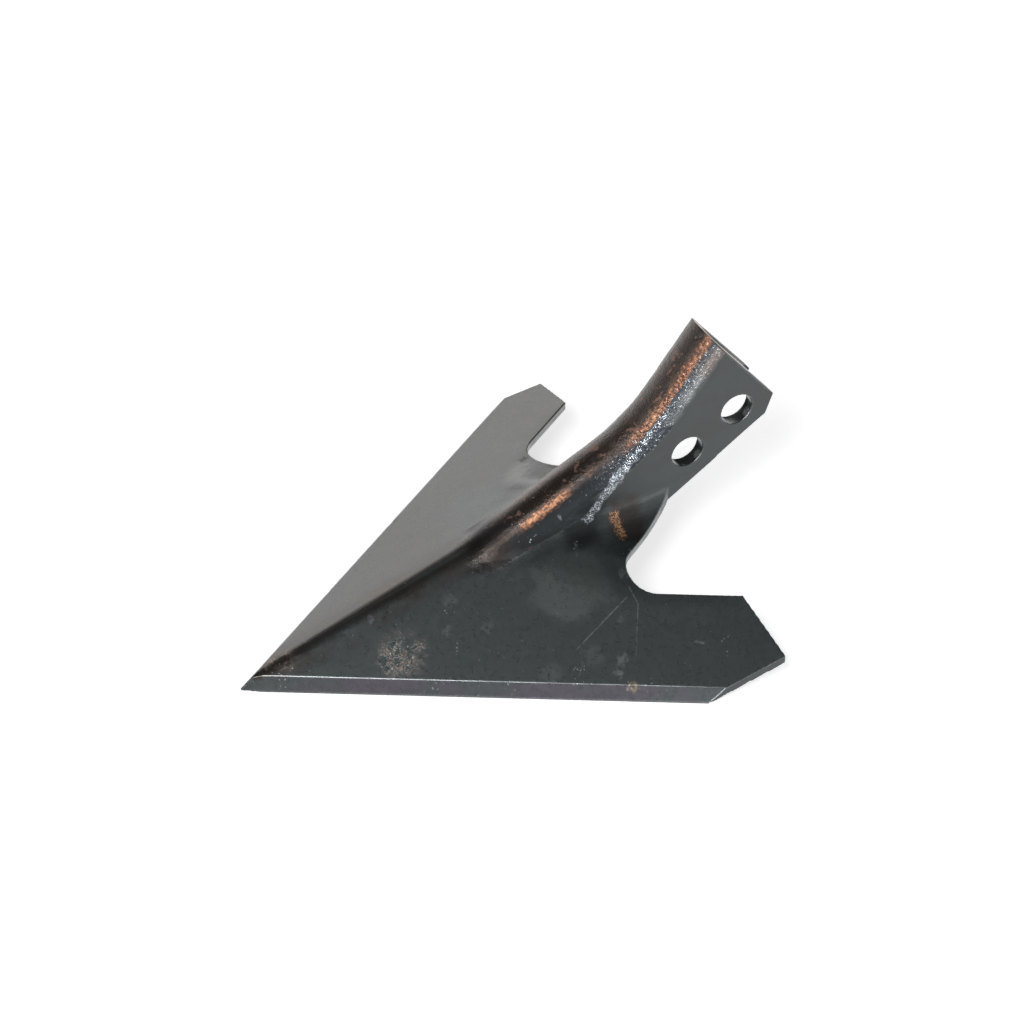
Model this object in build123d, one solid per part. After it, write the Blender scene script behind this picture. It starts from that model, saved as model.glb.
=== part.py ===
"""Cultivator share: a pressed and forged V-shaped blade with a folded neck, in one piece.

The blank is steel plate. Its two wings slope down from a rounded ridge to bevelled cutting edges.
Behind the blade the ridge lifts into a crest and then bends up into the neck, where the plate is
folded round into a narrow channel, open to the rear and below. Two cross bolts through both flanks
of the channel hold the share on its tine.

Millimetres. X runs backwards from the point, Y to the right as the share travels, Z up, and both
cutting edges lie in one level plane. Everything is drawn from the point of the share and is moved
at the end, so that the origin is the middle of the lower bolt hole.
"""

import os
from math import acos, atan, cos, hypot, radians, sin, sqrt, tan

from build123d import *

# Whole share
LENGTH = 237.9                  # from the point to the rearmost corner of the neck

# Blade
SWEEP = radians(30.7)           # each cutting edge, away from the line of travel
WING_SLOPE = radians(28.8)      # each wing, up from the level, square to its cutting edge
WING_PLATE = 3.4                # thickness of the wings
WING_WIDTH = 37.6               # in plan, from the cutting edge to the rear edge
LEFT_WING = (187.6, 217.4, 199.8)   # along the cutting edge: its end, the outer and rear corners
RIGHT_WING = (199.0, 210.8, 193.6)  # the two wings are not cropped alike
OUTER_CORNER_IN = 15.6          # in plan, from the cutting edge to the outer corner
BEVEL_SLOPE = radians(57.25)    # sharpened face, up from the level
EDGE_LAND = 0.4                 # worn flat left at the cutting edge
POINT_ROUND = 5.0               # outside of the fold at the point, growing to that of the crest
POINT_BLUNT = 1.0               # worn off the point

# Crest, seen from the side: three straight runs joined by two bends
CREST_ROUND = 12.0              # outside of the fold along the crest, and half the neck's width
LIFT_AHEAD = 134.5              # from the neck's rear corner to where the crest leaves the ridge
LIFT_SLOPE = radians(24.6)
LIFT_BEND = 150.0
LIFT_LENGTH = 90.0              # from the corner of one bend to the corner of the next
NECK_SLOPE = radians(52.5)
NECK_BEND = 78.0

# Neck. Its places are measured forwards from its rear corner and down from the blade's ridge line
NECK_PLATE = 5.5
VALLEY_ROUND = 14.0             # between a flank and the blade
FLANK_AHEAD = 48.5              # where the flank's lower edge begins
FLANK_BELOW = 26.4
LOWER_EDGE_SLOPE = radians(31.7)
LOWER_EDGE = 52.9
CORNER_CUT_BACK = 3.5           # small corner between the lower edge and the end face
CORNER_CUT_UP = 9.1
END_FACE_SLOPE = radians(126.6)
END_FACE_SKEW = radians(1.5)    # the end is sheared a little out of square
NOTCH_ROUND = 13.0              # root of the gap between a wing and the neck
NOTCH_SLANT = radians(32.7)     # its inner side, away from the line of travel

# Where the sheet changes, measured back from the place where the crest lifts
THICKEN_BACK = 2.0              # the neck's plate is thicker than the wings'
THICKEN_LENGTH = 60.0
SHOULDER_BACK = 15.0            # the blade grows level beside the neck
SHOULDER_LENGTH = 46.0
KNEE_OUT = 18.0                 # where that level shoulder bends down into the wing
KNEE_SPREAD = 0.75              # the knee runs outwards as it runs back
KNEE_FAR = 64.0
KNEE_SOFT = 12.0
TILT_AHEAD = 23.0               # sections lean from upright to square with the neck
TILT_LENGTH = 90.0

# Bolt holes, for M12 with room to set the share on its tine
BOLT_HOLE = 14.5
BOLT_AHEAD = 39.7               # lower hole
BOLT_BELOW = 6.8
BOLT_SPACING = 26.2
BOLT_LINE_SLOPE = radians(30.5)

# Places where the sheet's sections are taken, and how far tools reach past the share
STATION_STEP = 10.0
AHEAD = 14.0                    # the sheet is drawn past the point and trimmed
BEHIND = 72.0
HALF_SPAN = 125.0
DEEPEST = 50.0                  # no section is drawn further below the crest than the neck needs
NEAR_STEP = 3.0                 # along a half section: fine round the crest and through the valley
NEAR_COUNT = 16
MIDDLE_STEP = 7.0
MIDDLE_COUNT = 8
FAR_STEP = 18.0
FAR_COUNT = 2
CLEAR = 150.0

RIDGE_RISE = sin(SWEEP) * tan(WING_SLOPE)       # of the wing's plane, per mm backwards
WING_FALL = cos(SWEEP) * tan(WING_SLOPE)        # of the wing's plane, per mm outwards
PLATE_RISE = WING_PLATE / cos(WING_SLOPE)       # upright measure through a wing
RIDGE_SLOPE = atan(RIDGE_RISE)
LIFT_AT = LENGTH - LIFT_AHEAD


def ridge_height(back):
    """Height of the ridge line of the wings' upper planes, at a distance behind the point."""
    return PLATE_RISE + RIDGE_RISE * back


def ease(t):
    """A smooth step from 0 to 1."""
    t = min(max(t, 0.0), 1.0)
    return t * t * (3 - 2 * t)


def ridge_fold_drop(slope):
    """How far the crest's centre lies below the ridge of the wings' planes, in a square section."""
    fall = WING_FALL / (cos(slope) + RIDGE_RISE * sin(slope))
    return CREST_ROUND * hypot(1, fall)


def crest_runs():
    """Start point, start slope and (length, turn) of each stretch of the crest's centre line."""
    drop = ridge_fold_drop(RIDGE_SLOPE)
    start = (-AHEAD + drop * sin(RIDGE_SLOPE), ridge_height(-AHEAD) - drop * cos(RIDGE_SLOPE))
    first = (LIFT_AT - start[0]) / cos(RIDGE_SLOPE)
    lift, bend = LIFT_SLOPE - RIDGE_SLOPE, NECK_SLOPE - LIFT_SLOPE
    lift_tangent, bend_tangent = LIFT_BEND * tan(lift / 2), NECK_BEND * tan(bend / 2)
    runs = [
        (first - lift_tangent, 0.0),
        (LIFT_BEND * lift, lift),
        (LIFT_LENGTH - lift_tangent - bend_tangent, 0.0),
        (NECK_BEND * bend, bend),
        (BEHIND, 0.0),
    ]
    return start, runs


def crest_at(distance):
    """Place and slope of the crest's centre line at a distance along it."""
    (x, z), runs = crest_runs()
    slope = RIDGE_SLOPE
    for length, turn in runs:
        part = min(max(distance / length, 0.0), 1.0)
        angle = turn * part
        chord = length * part if turn == 0 else 2 * length / turn * sin(angle / 2)
        x += chord * cos(slope + angle / 2)
        z += chord * sin(slope + angle / 2)
        slope += angle
        distance -= length
        if distance <= 0:
            break
    return x, z, slope


def half_section(x, z, slope, inside):
    """Right half of the sheet's section square to the crest, as (outwards, up) points from the crest.

    It runs round the crest, down the flank, out through the valley, along the shoulder beside the
    notch and down the wing. Inside, the same bends are followed through the plate's thickness.
    """
    lean = cos(slope) + RIDGE_RISE * sin(slope)
    fall = WING_FALL / lean
    ridge = (ridge_height(x) - z) / lean
    outer_round = POINT_ROUND + (CREST_ROUND - POINT_ROUND) * min(max(x / LIFT_AT, 0.0), 1.0)
    centre = max(ridge - outer_round * hypot(1, fall), 0.0)
    plate = WING_PLATE + (NECK_PLATE - WING_PLATE) * ease((x - LIFT_AT - THICKEN_BACK) / THICKEN_LENGTH)
    fold = outer_round - plate if inside else outer_round
    valley = VALLEY_ROUND + plate if inside else VALLEY_ROUND

    # The shoulder grows level behind the place where the crest lifts
    level = fall * (1 - ease((x - LIFT_AT - SHOULDER_BACK) / SHOULDER_LENGTH))
    knee_out = min(KNEE_OUT + KNEE_SPREAD * max(x - LIFT_AT - SHOULDER_BACK, 0.0), KNEE_FAR)
    knee_up = max(ridge - fall * knee_out, -DEEPEST)
    if inside:
        knee_up -= PLATE_RISE / lean
    axis_up = knee_up + level * knee_out

    # The valley's bend touches the crest's bend, or the flank once that is upright
    reach = fold + valley
    rise = axis_up + valley * hypot(1, level) - centre
    inner = level * level * rise * rise - (1 + level * level) * (rise * rise - reach * reach)
    valley_out = (level * rise + sqrt(max(inner, 0.0))) / (1 + level * level)
    valley_up = rise + centre - level * valley_out
    if valley_up < centre:
        valley_out = reach
        valley_up = rise + centre - level * valley_out
        turn = radians(90)
    else:
        turn = acos(min(max((valley_up - centre) / reach, -1.0), 1.0))
    end = atan(level)

    points = []
    count = 16
    for k in range(count + 1):
        t = turn * k / count
        points.append((fold * sin(t), centre + fold * cos(t)))
    for k in range(count + 1):
        t = turn + (end - turn) * k / count
        points.append((valley_out - valley * sin(t), valley_up - valley * cos(t)))

    # The knee is a soft bend between the shoulder and the wing
    start_out, start_up = points[-1]
    before = max(knee_out - start_out, 0.01)
    soft = min(KNEE_SOFT, 0.9 * before)
    for k in range(count + 1):
        t = k / count
        out = knee_out - soft + 2 * soft * t
        sag = (fall - level) * soft * t * t
        points.append((out, knee_up + level * soft - level * 2 * soft * t - sag))
    points.append((HALF_SPAN, knee_up - fall * (HALF_SPAN - knee_out)))
    return points


def marks():
    """Distances along a half section at which it is sampled: close near the crest, wide on the wing."""
    near = [NEAR_STEP * k for k in range(NEAR_COUNT + 1)]
    middle = [near[-1] + MIDDLE_STEP * k for k in range(1, MIDDLE_COUNT + 1)]
    return near + middle + [middle[-1] + FAR_STEP * k for k in range(1, FAR_COUNT + 1)]


def spread(points):
    """The same half section, with its points at the marks and the last one at its end."""
    lengths = [0.0]
    for (y0, z0), (y1, z1) in zip(points, points[1:]):
        lengths.append(lengths[-1] + hypot(y1 - y0, z1 - z0))
    close = NEAR_STEP * NEAR_COUNT
    stretch = (lengths[-1] - close) / (marks()[-1] - close)
    result = []
    k = 0
    for mark in marks():
        target = mark if mark <= close else close + (mark - close) * stretch
        while k < len(lengths) - 2 and lengths[k + 1] < target:
            k += 1
        gap = lengths[k + 1] - lengths[k]
        part = (target - lengths[k]) / gap if gap > 1e-9 else 0.0
        (y0, z0), (y1, z1) = points[k], points[k + 1]
        result.append((y0 + (y1 - y0) * part, z0 + (z1 - z0) * part))
    return result


def section_curve(x, z, slope, tilt, inside):
    """The whole section, from the left wing over the crest to the right wing."""
    half = spread(half_section(x, z, tilt, inside))
    section = [(-y, up) for y, up in reversed(half[1:])] + half
    points = [Vector(x - up * sin(tilt), y, z + up * cos(tilt)) for y, up in section]
    side = marks()[1:]
    places = [-mark for mark in reversed(side)] + [0.0] + side
    total = places[-1] - places[0]
    return Edge.make_spline(points, parameters=[(place - places[0]) / total for place in places])


def sheet():
    """The bent plate, lofted through its sections, before it is trimmed to its outline."""
    total = sum(length for length, turn in crest_runs()[1])
    stations = round(total / STATION_STEP)
    wires = []
    for station in range(stations + 1):
        x, z, slope = crest_at(total * station / stations)
        tilt = slope * ease((x - LIFT_AT + TILT_AHEAD) / TILT_LENGTH)
        outer = section_curve(x, z, slope, tilt, False)
        inner = section_curve(x, z, slope, tilt, True)
        ends = [Edge.make_line(outer @ k, inner @ k) for k in (1, 0)]
        wires.append(Wire([outer, ends[0], inner, ends[1]]))
    return Solid.make_loft(wires)


def prism(points, axis, low, high):
    """A straight prism over (a, b) points: upright over X and Y, or sideways over X and Z."""
    if axis == "Z":
        corners = [(a, b, low) for a, b in points]
        travel = (0, 0, high - low)
    else:
        corners = [(a, low, b) for a, b in points]
        travel = (0, high - low, 0)
    return Solid.extrude(Face(Wire.make_polygon([Vector(*c) for c in corners], close=True)), Vector(*travel))


def on_wing(along, inwards, side):
    """Plan position of a point given along a cutting edge and inwards from it."""
    x = along * cos(SWEEP) + inwards * sin(SWEEP)
    y = along * sin(SWEEP) - inwards * cos(SWEEP)
    return x, side * y


def outline():
    """The blank's outline in plan, without the notches: everything inside it is kept."""
    points = [(0, 0)]
    for (edge, outer, rear), side in ((LEFT_WING, -1), (RIGHT_WING, 1)):
        # the wing's end runs on past its rear corner, which the notch then cuts
        lean = (rear - outer) / (WING_WIDTH - OUTER_CORNER_IN)
        past = 1.2 * WING_WIDTH
        wing = [
            on_wing(edge, 0, side),
            on_wing(outer, OUTER_CORNER_IN, side),
            on_wing(outer + lean * (past - OUTER_CORNER_IN), past, side),
            (LENGTH + CREST_ROUND, side * 5 * CREST_ROUND),
        ]
        points += wing if side < 0 else wing[::-1]
    return prism(points, "Z", -CLEAR, CLEAR)


def notch(side):
    """What is taken out between a wing and the neck, with a round root."""
    beside = 1.025 * CREST_ROUND
    start = LENGTH - FLANK_AHEAD
    # the rear edge and the slanted side meet at the root's corner
    rise = tan(SWEEP)
    across = WING_WIDTH / cos(SWEEP)
    x = (beside + start * tan(NOTCH_SLANT) + across) / (rise + tan(NOTCH_SLANT))
    root = (x, side * (rise * x - across))
    far = LENGTH + CLEAR
    points = [root, (far, side * (rise * far - across)), (far, side * beside), (start, side * beside)]
    cutter = prism(points, "Z", -CLEAR, CLEAR)
    corners = cutter.edges().filter_by(Axis.Z)
    edge = min(corners, key=lambda e: hypot(e.center().X - root[0], e.center().Y - root[1]))
    return cutter.fillet(NOTCH_ROUND, [edge])


def neck_corners():
    """The lower edge's start and end and the end face's start, seen from the side."""
    x0 = LENGTH - FLANK_AHEAD
    z0 = ridge_height(x0) - FLANK_BELOW
    x1 = x0 + LOWER_EDGE * cos(LOWER_EDGE_SLOPE)
    z1 = z0 + LOWER_EDGE * sin(LOWER_EDGE_SLOPE)
    return (x0, z0), (x1, z1), (x1 + CORNER_CUT_BACK, z1 + CORNER_CUT_UP)


def below_neck():
    """What is taken off below and behind the neck's flanks, seen from the side."""
    (x0, z0), (x1, z1), (x2, z2) = neck_corners()
    ahead = 3 * CREST_ROUND
    up = CLEAR / CORNER_CUT_UP
    points = [
        (x0 - ahead, z0 - ahead * tan(LOWER_EDGE_SLOPE)),
        (x1, z1),
        (x1 + up * CORNER_CUT_BACK, z1 + up * CORNER_CUT_UP),
        (LENGTH + CLEAR, z1 + CLEAR),
        (LENGTH + CLEAR, -CLEAR),
        (x0 - ahead, -CLEAR),
    ]
    half = 1.05 * CREST_ROUND
    return prism(points, "Y", -half, half)


def end_face():
    """What is sheared off past the neck's end, out of square by the skew."""
    x, z = neck_corners()[2]
    across = Vector(sin(END_FACE_SKEW) * sin(END_FACE_SLOPE), -cos(END_FACE_SKEW),
                    -sin(END_FACE_SKEW) * cos(END_FACE_SLOPE))
    normal = Vector(cos(END_FACE_SKEW) * sin(END_FACE_SLOPE), sin(END_FACE_SKEW),
                    -cos(END_FACE_SKEW) * cos(END_FACE_SLOPE))
    place = Plane(origin=Vector(x, -CREST_ROUND, z), x_dir=across, z_dir=normal)
    return place * (Pos(0, 0, CLEAR / 4) * Box(CLEAR, CLEAR, CLEAR / 2))


def bevel(side):
    """What grinding takes off above a cutting edge."""
    out, high = WING_WIDTH, 2 * WING_WIDTH
    run = (high - EDGE_LAND) / tan(BEVEL_SLOPE)
    corners = [(0, EDGE_LAND), (-out, EDGE_LAND), (-out, high), (run, high)]
    start = [Vector(*on_wing(-out, inwards, side), up) for inwards, up in corners]
    along = Vector(*on_wing(LENGTH + 2 * out, 0, side), 0)
    return Solid.extrude(Face(Wire.make_polygon(start, close=True)), along)


def bolt_hole(x, z):
    """A hole straight across both flanks."""
    return Pos(x, 0, z) * Cylinder(BOLT_HOLE / 2, 4 * CREST_ROUND, rotation=(90, 0, 0))


lower_bolt = (LENGTH - BOLT_AHEAD, ridge_height(LENGTH - BOLT_AHEAD) - BOLT_BELOW)
upper_bolt = (
    lower_bolt[0] + BOLT_SPACING * cos(BOLT_LINE_SLOPE),
    lower_bolt[1] + BOLT_SPACING * sin(BOLT_LINE_SLOPE),
)

body = sheet() & outline()
for side in (-1, 1):
    body = body - notch(side) - bevel(side)
body = body - below_neck() - end_face()
body = body - Pos(POINT_BLUNT - CLEAR / 2, 0, 0) * Box(CLEAR, CLEAR, CLEAR)
body = body - bolt_hole(*lower_bolt) - bolt_hole(*upper_bolt)
share = Pos(-lower_bolt[0], 0, -lower_bolt[1]) * body.solids().sort_by(SortBy.VOLUME)[-1]

os.makedirs("parts", exist_ok=True)
export_step(share, "parts/share.step")
print("solids", len(body.solids()), "valid", share.is_valid, "volume", round(share.volume))
print("faces", len(share.faces()), "lower bolt", [round(v, 2) for v in lower_bolt])
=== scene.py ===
"""Cultivator share, for looks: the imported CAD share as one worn, forged and oiled piece of steel.

Laid out as a Blender add-on. One operator makes the share's surface, one its stage.
"""

import math
from functools import reduce

import bpy
import numpy as np
from mathutils import Matrix, Vector, noise


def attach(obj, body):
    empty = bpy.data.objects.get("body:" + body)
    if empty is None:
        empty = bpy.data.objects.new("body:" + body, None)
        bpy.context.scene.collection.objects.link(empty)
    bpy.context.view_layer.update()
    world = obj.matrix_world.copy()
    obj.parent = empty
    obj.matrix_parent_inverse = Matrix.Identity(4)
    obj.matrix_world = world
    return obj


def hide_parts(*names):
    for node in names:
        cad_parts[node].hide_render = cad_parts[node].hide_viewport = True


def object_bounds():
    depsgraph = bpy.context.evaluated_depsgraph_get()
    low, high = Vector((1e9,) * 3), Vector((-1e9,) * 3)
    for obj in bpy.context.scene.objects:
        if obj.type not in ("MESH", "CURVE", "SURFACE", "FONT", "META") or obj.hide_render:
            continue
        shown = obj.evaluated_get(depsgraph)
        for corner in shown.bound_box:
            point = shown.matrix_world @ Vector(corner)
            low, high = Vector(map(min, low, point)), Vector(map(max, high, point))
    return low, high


bl_info = {
    "name": "Cultivator share",
    "version": (1, 0, 0),
    "blender": (4, 5, 0),
    "location": "View3D > Sidebar > Share",
    "description": "Makes the worn surface and the stage of a cultivator share",
    "category": "Object",
}

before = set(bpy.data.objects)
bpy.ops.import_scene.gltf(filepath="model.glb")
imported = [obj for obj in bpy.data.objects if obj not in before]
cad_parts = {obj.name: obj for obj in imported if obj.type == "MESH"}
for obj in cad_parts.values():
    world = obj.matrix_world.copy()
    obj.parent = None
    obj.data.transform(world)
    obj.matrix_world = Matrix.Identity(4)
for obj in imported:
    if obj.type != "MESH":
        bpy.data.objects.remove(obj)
LOWEST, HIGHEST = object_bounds()
MM = 0.001
WHITE = (1.0, 1.0, 1.0)

# The share. Its near side is the camera's side, where y is below 0.
NEAR, FAR = -1, 1
POINT = Vector((-0.1982, 0.0, -0.05271))    # the share's point in the shared frame, in metres
SWEEP, WING_SLOPE, BEVEL_SLOPE = (math.radians(v) for v in (30.7, 28.8, 57.25))
PLATE_RISE = 3.88       # of the wing's upper plane over its cutting edge's plane, in millimetres
EDGE_LAND = 0.4         # height of the blunt strip along the cutting edges, in millimetres
BORES = ((0.0, 0.0), (22.57, 13.30))        # millimetres back and up from the lower bolt


# ---------------------------------------------------------------- settings
class ShareSettings(bpy.types.PropertyGroup):
    """Surface of the share."""

    voxel: bpy.props.FloatProperty(
        name="Mesh step", description="Spacing of the surface mesh", default=0.00045,
        min=0.0003, max=0.003, precision=4, subtype="DISTANCE", unit="LENGTH")
    keep: bpy.props.FloatProperty(
        name="Kept", description="Part of the mesh that is kept when it is thinned", default=0.22,
        min=0.05, max=1.0, subtype="FACTOR")
    smooth: bpy.props.IntProperty(
        name="Edge wear", description="How often the edges are softened", default=2, min=0, max=20)
    lumps: bpy.props.FloatProperty(
        name="Forging lumps", description="Height of the lumps left by forging along the crest",
        default=0.00012, min=0.0, max=0.001, precision=5, subtype="DISTANCE", unit="LENGTH")
    steel: bpy.props.FloatVectorProperty(
        name="Steel", description="Colour of the oiled dark steel", default=(0.110, 0.129, 0.131),
        size=3, min=0.0, max=1.0, subtype="COLOR")
    copper: bpy.props.FloatVectorProperty(
        name="Copper scale", description="Colour of the shiny scale on the crest",
        default=(0.46, 0.235, 0.135), size=3, min=0.0, max=1.0, subtype="COLOR")
    rust: bpy.props.FloatVectorProperty(
        name="Rust", description="Colour of the thin rust", default=(0.200, 0.108, 0.078),
        size=3, min=0.0, max=1.0, subtype="COLOR")
    bare: bpy.props.FloatVectorProperty(
        name="Bare steel", description="Colour of scratches, flecks and worn edges",
        default=(0.46, 0.49, 0.50), size=3, min=0.0, max=1.0, subtype="COLOR")


class StageSettings(bpy.types.PropertyGroup):
    """Lamps, backdrop and floor."""

    key: bpy.props.FloatProperty(
        name="Key light", description="Power of the light high on the camera's side", default=8.5,
        min=0.0, unit="POWER")
    front: bpy.props.FloatProperty(
        name="Front light", description="Power of the small light in front of the point",
        default=2.2, min=0.0, unit="POWER")
    low: bpy.props.FloatProperty(
        name="Low light", description="Power of the low light on the camera's side", default=5.5,
        min=0.0, unit="POWER")
    back: bpy.props.FloatProperty(
        name="Back light", description="Power of the wide low light behind the share", default=4.2,
        min=0.0, unit="POWER")
    horizon: bpy.props.FloatProperty(
        name="Horizon", description="Brightness of the white backdrop all round", default=1.0,
        min=0.0)
    zenith: bpy.props.FloatProperty(
        name="Ceiling", description="Brightness of the dark ceiling", default=0.11, min=0.0)
    floor: bpy.props.FloatVectorProperty(
        name="Floor", description="Colour of the floor", default=(0.88, 0.88, 0.88),
        size=3, min=0.0, max=1.0, subtype="COLOR")


# ---------------------------------------------------------------- places
def on_blade(back, out, up):
    """A place in the shared frame, from millimetres behind the point, to the far side and up."""
    return POINT + Vector((back, out, up)) * MM


def along_edge(along, inwards, up, side):
    """A place on a wing: millimetres along its cutting edge, in plan into the wing, then up."""
    back = along * math.cos(SWEEP) + inwards * math.sin(SWEEP)
    out = along * math.sin(SWEEP) - inwards * math.cos(SWEEP)
    return on_blade(back, side * out, up)


# ---------------------------------------------------------------- node helpers
class Nodes:
    """Short ways to make shader nodes in one tree."""

    def __init__(self, tree):
        self.tree = tree
        tree.nodes.clear()

    def new(self, kind, **values):
        node = self.tree.nodes.new(kind)
        for key, value in values.items():
            setattr(node, key, value)
        return node

    def put(self, socket, value):
        if isinstance(value, bpy.types.NodeSocket):
            self.tree.links.new(value, socket)
        else:
            socket.default_value = value

    def parts(self, kind, value):
        """The outputs of a node that takes a value apart."""
        node = self.new(kind)
        self.put(node.inputs[0], value)
        return tuple(node.outputs)

    def math(self, operation, a, b):
        node = self.new("ShaderNodeMath", operation=operation)
        self.put(node.inputs[0], a)
        self.put(node.inputs[1], b)
        return node.outputs[0]

    def times(self, *values):
        return reduce(lambda a, b: self.math("MULTIPLY", a, b), values)

    def most(self, values):
        return reduce(lambda a, b: self.math("MAXIMUM", a, b), values)

    def without(self, value):
        """1 less the value."""
        return self.math("SUBTRACT", 1.0, value)

    def vector(self, operation, a, b):
        node = self.new("ShaderNodeVectorMath", operation=operation)
        self.put(node.inputs[0], a)
        self.put(node.inputs[1], b)
        return node

    def step(self, value, low, high, to_low=0.0, to_high=1.0):
        """A soft step between two values, which may run down as well as up."""
        node = self.new("ShaderNodeMapRange", interpolation_type="SMOOTHSTEP")
        for socket, item in zip(node.inputs, (value, low, high, to_low, to_high)):
            self.put(socket, item)
        return node.outputs[0]

    def mix(self, factor, a, b):
        node = self.new("ShaderNodeMix", data_type="RGBA")
        self.put(node.inputs["Factor"], factor)
        for socket, colour in (("A", a), ("B", b)):
            if not isinstance(colour, bpy.types.NodeSocket):
                colour = (*colour, 1.0)
            self.put(node.inputs[socket], colour)
        return node.outputs["Result"]

    def ball(self, place, centre, radius, soft):
        """1 inside a ball, falling to 0 at its radius, in metres."""
        away = self.vector("DISTANCE", place, tuple(centre)).outputs["Value"]
        return self.step(away, radius, radius * (1 - soft))

    def line(self, place, start, end, width):
        """1 on a straight line between two places, falling to 0 at its width in millimetres."""
        width *= MM
        run = end - start
        offset = self.vector("SUBTRACT", place, tuple(start)).outputs["Vector"]
        along = self.vector("DOT_PRODUCT", offset, tuple(run / run.length_squared))
        part = self.math("MAXIMUM", along.outputs["Value"], 0.0)
        part = self.math("MINIMUM", part, 1.0)
        scaled = self.new("ShaderNodeVectorMath", operation="SCALE")
        scaled.inputs[0].default_value = tuple(run)
        self.put(scaled.inputs["Scale"], part)
        away = self.vector("DISTANCE", offset, scaled.outputs["Vector"]).outputs["Value"]
        return self.step(away, width, width * LINE_CORE)


# ---------------------------------------------------------------- finishes
# Places are given in millimetres behind the share's point, to the far side and up.
LINE_CORE = 0.35        # part of a line's width that is full
DRIFTS = ((420.0, 0.005), (70.0, 0.018))    # scale of a drift and its reach in metres
NOISES = {
    # scale, detail, roughness, distortion
    "broad": (16.0, 2.0, 0.5, 0.0),
    "heat": (38.0, 3.0, 0.6, 0.0),
    "tint": (45.0, 3.0, 0.6, 0.0),
    "oil": (70.0, 3.0, 0.5, 0.0),
    "rub": (85.0, 3.0, 0.6, 0.0),
    "middle": (120.0, 4.0, 0.6, 0.3),
    "browns": (160.0, 4.0, 0.65, 0.0),
    "rust": (210.0, 4.0, 0.65, 0.3),
    "dry rust": (260.0, 4.0, 0.7, 0.0),
    "fine": (560.0, 3.0, 0.6, 0.0),
    "gaps": (700.0, 2.0, 0.5, 0.0),
    "copper": (760.0, 3.0, 0.65, 0.0),
    "glints": (980.0, 2.0, 0.6, 0.0),
    "speckles": (1100.0, 2.0, 0.7, 0.0),
    "flakes": (1500.0, 2.0, 0.65, 0.0),
    "grain": (1700.0, 2.0, 0.65, 0.0),
    "streak": (1900.0, 2.0, 0.6, 0.0),
}
GRAINS = {
    # noise that breaks a finish up, its value where the finish starts and where it is full
    "broad film": ("broad", 0.35, 0.70),
    "warm film": ("middle", 0.35, 0.80),
    "grey film": ("fine", 0.45, 0.75),
    "rubbed patch": ("oil", 0.34, 0.44),
    "ridge brown": ("tint", 0.30, 0.60),
    "crest brown": ("browns", 0.42, 0.62),
    "rust": ("rust", 0.58, 0.64),
    "copper": ("copper", 0.42, 0.60),
    "valley highlight flakes": ("flakes", 0.44, 0.58),
    "dry rust": ("dry rust", 0.40, 0.58),
    "rust speckles": ("speckles", 0.50, 0.58),
    "heat tint": ("heat", 0.38, 0.64),
    "cut face": ("middle", 0.35, 0.60),
    "tan spot": ("fine", 0.34, 0.50),
    "dark spot": ("fine", 0.32, 0.52),
    "arris": ("rub", 0.40, 0.55),
    "scratch": ("fine", 0.38, 0.58),
    "pale spot": ("fine", 0.32, 0.56),
    "streak": ("streak", 0.42, 0.58),
    "streak gaps": ("gaps", 0.36, 0.54),
    "crest glints": ("glints", 0.60, 0.66),
    "roughness": ("fine", 0.30, 0.75),
}
COATS = {
    # red, green, blue, and how far it covers what is under it
    "far film": (0.074, 0.073, 0.071, 1.0),
    "warm film": (0.135, 0.120, 0.110, 0.16),
    "grey film": (0.128, 0.128, 0.128, 0.30),
    "flank film": (0.078, 0.083, 0.084, 0.9),
    "rubbed patch": (0.185, 0.212, 0.205, 0.75),
    # painted shade along the ridge's side away from the camera
    "ridge shade": (0.048, 0.042, 0.037, 0.75),
    "ridge brown": (0.066, 0.054, 0.046, 0.8),
    # painted light: a pale patch in the far valley
    "far painted light": (0.20, 0.20, 0.198, 0.8),
    # painted shade: the lower near side of the crest, and three dark spots at the crest's foot
    "lower crest": (0.026, 0.028, 0.030, 1.0),
    "crest foot painted shade": (0.060, 0.042, 0.037, 0.7),
    "valley painted shade": (0.030, 0.033, 0.036, 0.85),
    "crest start painted shade": (0.036, 0.031, 0.028, 0.85),
    "under copper": (0.100, 0.050, 0.036, 0.85),
    # painted copper highlight in the valley
    "valley copper highlight": (0.15, 0.075, 0.05, 0.6),
    "valley highlight flakes": (0.85, 0.48, 0.28, 0.9),
    "dry rust": (0.135, 0.100, 0.080, 0.35),
    "rust speckles": (0.36, 0.28, 0.235, 0.75),
    "ground bevel": (0.128, 0.140, 0.144, 0.8),
    "heat tint": (0.165, 0.140, 0.172, 0.75),
    "cut face": (0.27, 0.28, 0.275, 1.0),
    "end face": (0.175, 0.135, 0.118, 0.8),
    "tan spot": (0.42, 0.33, 0.23, 0.75),
    "dark spot": (0.022, 0.019, 0.018, 0.85),
    # painted highlights: the streak down the crest's near side and the glints in the bores
    "streak": (0.80, 0.86, 0.92, 0.92),
    "bore glint": (0.85, 0.88, 0.88, 0.9),
}
BROAD_FILM = (0.78, 0.30)       # brightness beside the steel's, and how far it covers
CREST_BROWNS = ((0.058, 0.048, 0.043), (0.082, 0.054, 0.042))
# painted reflection: lighter down the crest's far side; blue-black scale down its near side,
# darkened further as painted shade
CREST_FAR_SIDE_LIT = (0.128, 0.114, 0.106)
CREST_NEAR_SCALE_AND_SHADE = (0.042, 0.047, 0.056)
CREST_COVER, RUST_COVER, COPPER_COVER = 0.9, 0.8, 0.85

# where a finish starts and where it is full
CREST_LUMPS = (0.24, 0.42)
COPPER_BAND = (0.05, 0.6)
LOWER_CREST = (POINT.x + 0.172, POINT.x + 0.150)        # along x, in metres
CREST_TURN = (-5.0 * MM, 8.0 * MM)                      # along y
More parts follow.
